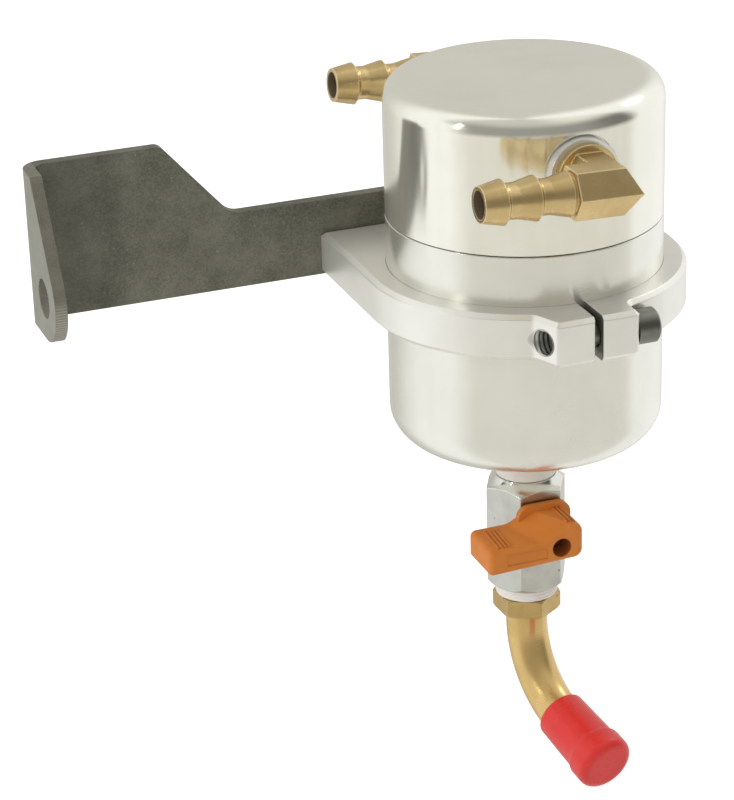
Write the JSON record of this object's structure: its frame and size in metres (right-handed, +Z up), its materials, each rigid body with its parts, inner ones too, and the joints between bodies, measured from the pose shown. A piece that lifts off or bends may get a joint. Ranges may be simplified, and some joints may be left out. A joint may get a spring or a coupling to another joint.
{
  "type": "oil catch can",
  "caption": "Round oil catch can with a screw-on lid, hose-barb elbows, a split clamp on a folded steel bracket, and a ball-valve drain with a bent, capped tube.",
  "frame": {"origin": "centre of the bracket's bolt hole on the flange's outer face", "axes": "+Z up along the can's axis, +X along the bracket from the flange to the can, -Y towards the clamp's split and the inlet elbow"},
  "size_m": [0.1736, 0.1227, 0.2019],
  "materials": {
    "polished_aluminium": "polished, fine turned lines",
    "satin_aluminium": "satin turned",
    "machined_aluminium": "machined, edges broken",
    "brass": "machined, slightly tarnished",
    "black_steel": "black oxide",
    "raw_steel": "dull rolled sheet, mottled",
    "zinc_steel": "zinc plated",
    "nickel": "nickel plated, slightly pitted",
    "ptfe": "white fluoropolymer",
    "orange_plastic": "moulded, dusty",
    "red_vinyl": "soft dip-moulded vinyl",
    "nitrile": "black nitrile rubber",
    "plain_aluminium": "plain mill finish",
    "filter_medium": "knitted mesh",
    "spring_steel": "oiled spring steel"
  },
  "bodies": {
    "can": {"can_body": "satin_aluminium", "clamp": "machined_aluminium", "clamp_screw": "black_steel", "bracket": "raw_steel", "bracket_screws": "black_steel", "bracket_washers": "zinc_steel", "baffle_plate": "plain_aluminium", "filter_mesh": "filter_medium", "retaining_ring": "spring_steel", "valve_body": "nickel", "valve_retainer": "brass", "upper_seat": "ptfe", "lower_seat": "ptfe", "stem_packing": "ptfe", "upper_tape": "ptfe", "lower_tape": "ptfe", "drain_fitting": "brass", "drain_tube": "brass"},
    "lid_seal": {"lid_o_ring": "nitrile"},
    "lid": {"lid": "polished_aluminium", "inlet_elbow": "brass", "outlet_elbow": "brass", "inlet_seal_ring": "plain_aluminium", "outlet_seal_ring": "plain_aluminium", "dip_tube": "plain_aluminium"},
    "lever": {"valve_handle": "orange_plastic", "handle_screw": "zinc_steel", "valve_stem": "brass", "valve_ball": "nickel"},
    "drain_cap": {"drain_cap": "red_vinyl"}
  },
  "joints": [
    {"name": "lid_rise", "type": "slide", "parent": "can", "child": "lid_seal", "axis": [0, 0, 1], "range_m": [0, 0.0101]},
    {"name": "lid_turn", "type": "hinge", "parent": "lid_seal", "child": "lid", "pos_m": [0.1292, -0.02625, 0.0147], "axis": [0, 0, 1], "range_deg": [0, 1800]},
    {"name": "lever_turn", "type": "hinge", "parent": "can", "child": "lever", "pos_m": [0.1292, -0.02625, -0.0773], "axis": [0, -1, 0], "range_deg": [0, 90]},
    {"name": "cap_pull", "type": "slide", "parent": "can", "child": "drain_cap", "axis": [0.178, -0.9512, -0.2521], "range_m": [0, 0.022]}
  ],
  "couplings": [
    {"joint": "lid_rise", "follows": "lid_turn", "m_per_rad": 0.00031831}
  ]
}
